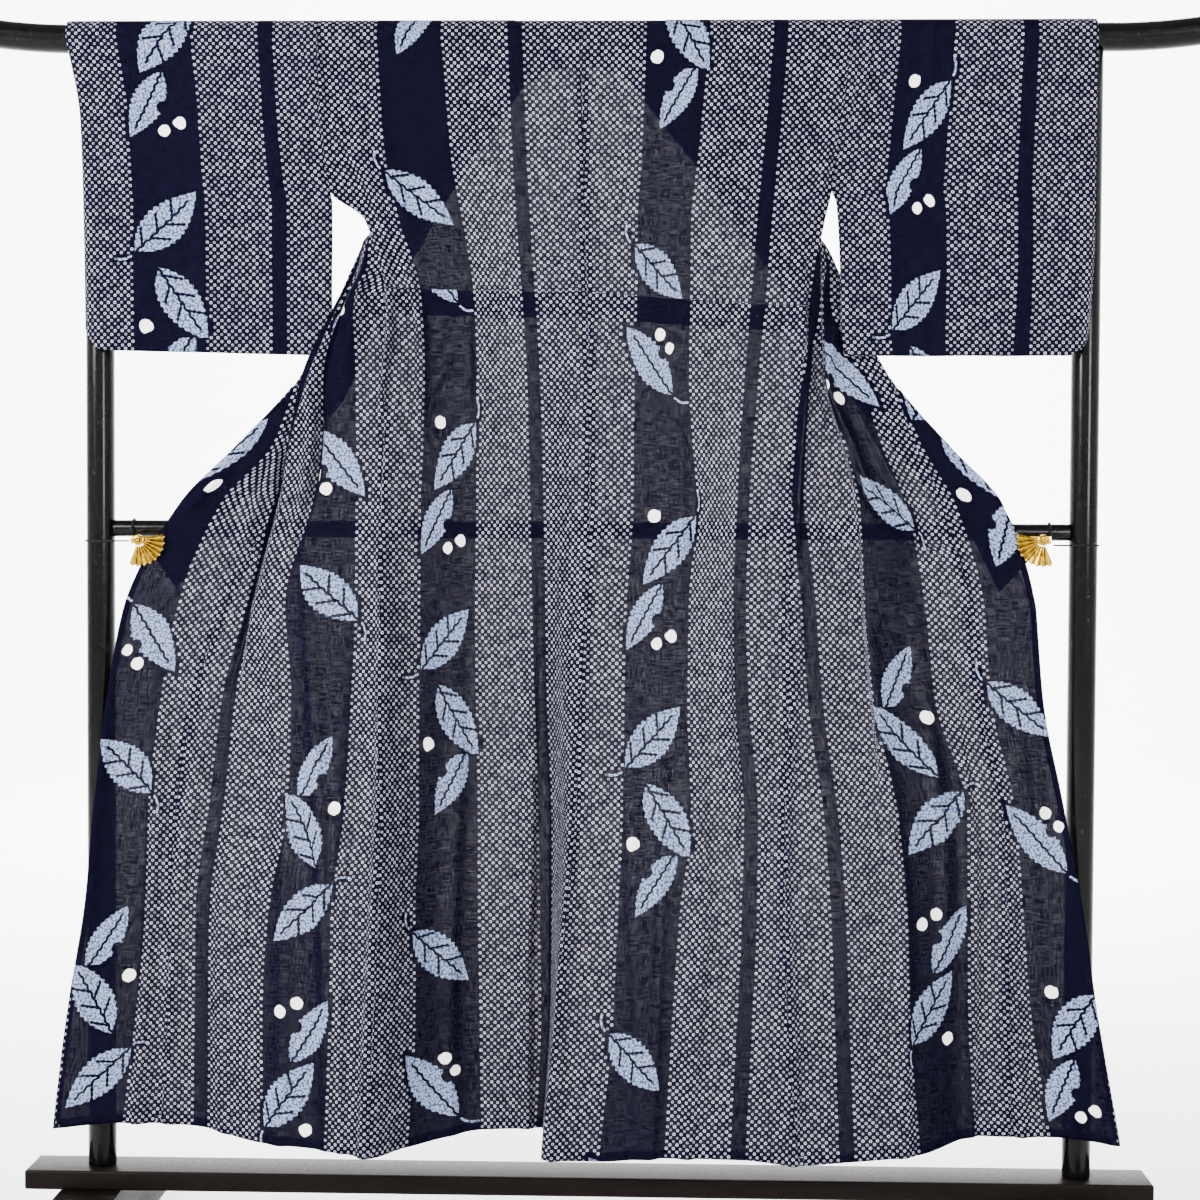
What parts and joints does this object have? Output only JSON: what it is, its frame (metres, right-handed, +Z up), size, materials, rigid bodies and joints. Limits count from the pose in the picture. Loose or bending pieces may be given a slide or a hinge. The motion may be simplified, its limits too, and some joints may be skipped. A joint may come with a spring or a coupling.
{
  "type": "cotton yukata robe spread on a kimono stand",
  "caption": "Long cotton summer robe with wide sleeves, hung back outwards over the rail of a black kimono stand, its fronts held out by clips.",
  "frame": {"origin": "on the floor under the middle of the stand, at the centre of the bounding box's bottom", "axes": "+Z up, +X along the rail, -Y the side that the robe's back faces"},
  "size_m": [1.6056, 0.4, 1.5728],
  "materials": {
    "cotton": "plain-weave navy cotton voile with bound-resist dots",
    "lacquer": "gloss black lacquer",
    "beam_lacquer": "satin black lacquer",
    "gilt": "polished gilt",
    "elastic": "covered elastic"
  },
  "bodies": {
    "root": {"back_left": "cotton", "back_right": "cotton", "front_left": "cotton", "front_right": "cotton", "okumi_left": "cotton", "okumi_right": "cotton", "collar_left": "cotton", "collar_right": "cotton", "sleeve_left": "cotton", "sleeve_right": "cotton", "waist_tuck_left": "cotton", "waist_tuck_right": "cotton", "top_rail": "lacquer", "post_left": "lacquer", "post_right": "lacquer", "crossbar": "lacquer", "base_beam": "beam_lacquer", "foot_left": "beam_lacquer", "foot_right": "beam_lacquer", "clip_fan_left": "gilt", "clip_fan_right": "gilt", "clip_jaw_left": "gilt", "clip_jaw_right": "gilt", "elastic_post_left": "elastic", "elastic_post_right": "elastic", "elastic_bar_left": "elastic", "elastic_bar_right": "elastic"}
  },
  "joints": []
}
